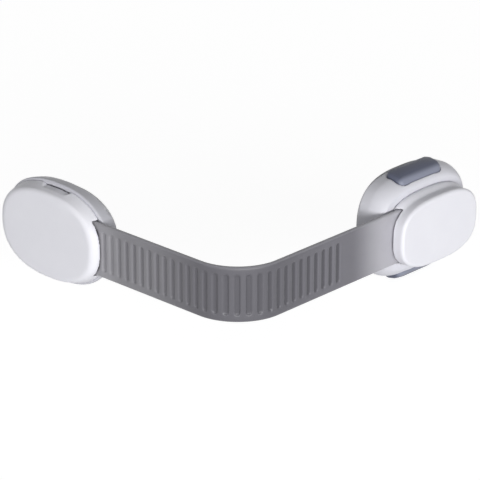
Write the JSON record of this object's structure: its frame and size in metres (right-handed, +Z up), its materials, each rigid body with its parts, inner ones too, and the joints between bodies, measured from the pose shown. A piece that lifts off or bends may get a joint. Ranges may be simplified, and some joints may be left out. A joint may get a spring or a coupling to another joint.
{
  "type": "multi-use strap lock",
  "caption": "Stick-on furniture strap lock: a ribbed flexible strap turns a corner between an oval anchor pod and a latch pod released by squeezing a button above and below.",
  "frame": {"origin": "centre of the latch pod's adhesive face", "axes": "+Y into the furniture behind the latch pod, +X along the latch leg of the strap away from the corner, +Z up along the pods' height"},
  "size_m": [0.11, 0.1071, 0.0362],
  "materials": {
    "white_shell": "satin moulded white plastic",
    "inner_plastic": "matt moulded plastic",
    "slate_button": "satin slate-grey moulded plastic",
    "smoky_strap": "smoky grey translucent elastomer, satin",
    "foam_tape": "matt foam tape",
    "steel": "zinc-plated steel"
  },
  "bodies": {
    "latch": {"latch_adhesive_pad": "foam_tape", "latch_base_plate": "inner_plastic", "latch_housing": "white_shell", "release_spring": "steel", "base_screw_1": "steel", "base_screw_2": "steel"},
    "upper_button": {"top_button": "slate_button"},
    "lower_button": {"bottom_button": "slate_button"},
    "strap_end": {"strap_cap": "white_shell", "hook_plate": "inner_plastic", "cap_screw_1": "steel", "cap_screw_2": "steel", "cap_screw_3": "steel", "strap": "smoky_strap"},
    "anchor": {"anchor_adhesive_pad": "foam_tape", "anchor_base": "white_shell", "anchor_cover": "white_shell", "anchor_screw_1": "steel", "anchor_screw_2": "steel", "anchor_screw_3": "steel"}
  },
  "joints": [
    {"name": "cap_release", "type": "slide", "parent": "latch", "child": "strap_end", "axis": [0, -1, 0], "range_m": [0, 0.00312], "deforming": ["release_spring"]},
    {"name": "top_button_press", "type": "slide", "parent": "latch", "child": "upper_button", "axis": [0, 0, -1], "range_m": [0, 0.0026], "stiffness_N_per_m": 300, "springref_m": -0.002, "deforming": ["release_spring"]},
    {"name": "bottom_button_press", "type": "slide", "parent": "latch", "child": "lower_button", "axis": [0, 0, 1], "range_m": [0, 0.0026], "stiffness_N_per_m": 300, "springref_m": -0.002, "deforming": ["release_spring"]},
    {"name": "strap_flex", "type": "hinge", "parent": "strap_end", "child": "anchor", "pos_m": [-0.0798, -0.007, 0], "axis": [0, 0, 1], "range_deg": [-30, 90], "stiffness_Nm_per_rad": 0.02, "deforming": ["strap"]}
  ],
  "couplings": [
    {"joint": "top_button_press", "follows": "cap_release", "ratio": 0.8333},
    {"joint": "bottom_button_press", "follows": "cap_release", "ratio": 0.8333}
  ]
}
